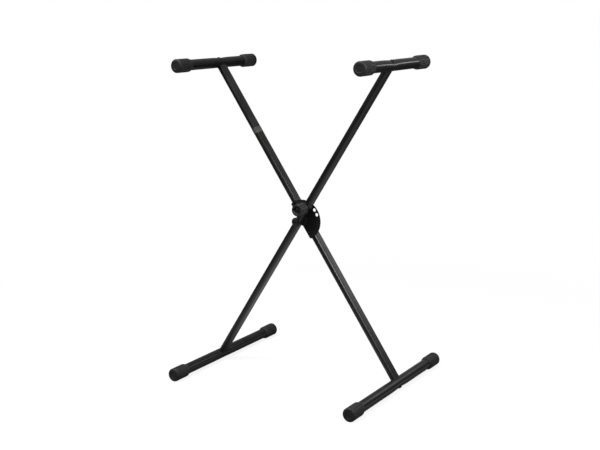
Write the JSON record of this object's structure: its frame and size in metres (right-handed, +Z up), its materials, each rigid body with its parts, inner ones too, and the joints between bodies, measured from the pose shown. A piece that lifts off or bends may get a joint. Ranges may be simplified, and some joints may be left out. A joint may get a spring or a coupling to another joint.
{
  "type": "folding keyboard stand",
  "caption": "Folding X-shaped stand for a keyboard: crossed legs on one pivot, half-moon locking plate with a pull knob, round arms and foot bars with ribbed rubber caps.",
  "frame": {"origin": "on the floor, in the middle between the two foot bars and halfway along them", "axes": "+X to the right arm, +Y from the front, where the knob is, to the rear, +Z up"},
  "size_m": [0.578, 0.47, 0.8504],
  "materials": {
    "leg_paint": "satin black powder coat",
    "bar_paint": "semi-gloss black powder coat",
    "plate_paint": "satin black powder coat",
    "cap_rubber": "matte ribbed rubber",
    "knob_plastic": "moulded, slightly shiny",
    "label_film": "plain film, no print",
    "washer_nylon": "black nylon",
    "bolt_black": "black zinc",
    "plug_steel": "turned steel",
    "zinc_steel": "zinc plated"
  },
  "bodies": {
    "rear_leg": {"rear_leg_tube": "leg_paint", "rear_leg_sleeve": "zinc_steel", "locking_plate": "plate_paint", "plate_standoffs": "bolt_black", "plate_rivets": "bolt_black", "pivot_spacer": "bolt_black", "thrust_washer": "washer_nylon", "pivot_bolt": "bolt_black", "pivot_head_washer": "bolt_black", "pivot_nut_washer": "zinc_steel", "pivot_lock_nut": "zinc_steel", "leg_label": "label_film", "left_arm_tube": "bar_paint", "left_arm_front_cap": "cap_rubber", "left_arm_rear_cap": "cap_rubber", "left_arm_bolt": "bolt_black", "right_foot_tube": "bar_paint", "right_foot_front_cap": "cap_rubber", "right_foot_rear_cap": "cap_rubber", "right_foot_bolt": "bolt_black", "rear_leg_top_plug": "plug_steel", "rear_leg_bottom_plug": "plug_steel"},
    "front_leg": {"front_leg_tube": "leg_paint", "front_leg_sleeve": "zinc_steel", "plunger_barrel": "bolt_black", "plunger_spring": "zinc_steel", "right_arm_tube": "bar_paint", "right_arm_front_cap": "cap_rubber", "right_arm_rear_cap": "cap_rubber", "right_arm_bolt": "bolt_black", "left_foot_tube": "bar_paint", "left_foot_front_cap": "cap_rubber", "left_foot_rear_cap": "cap_rubber", "left_foot_bolt": "bolt_black", "front_leg_top_plug": "plug_steel", "front_leg_bottom_plug": "plug_steel"},
    "plunger": {"plunger_pin": "zinc_steel", "pull_knob": "knob_plastic", "knob_screw": "bolt_black"}
  },
  "joints": [
    {"name": "leg_fold", "type": "hinge", "parent": "rear_leg", "child": "front_leg", "pos_m": [0, -0.0016, 0.426], "axis": [0, 1, 0], "range_deg": [-62.8, 34.4]},
    {"name": "plunger_slide", "type": "slide", "parent": "front_leg", "child": "plunger", "axis": [0, 1, 0], "range_m": [0, 0.0039], "deforming": ["plunger_spring"]}
  ]
}
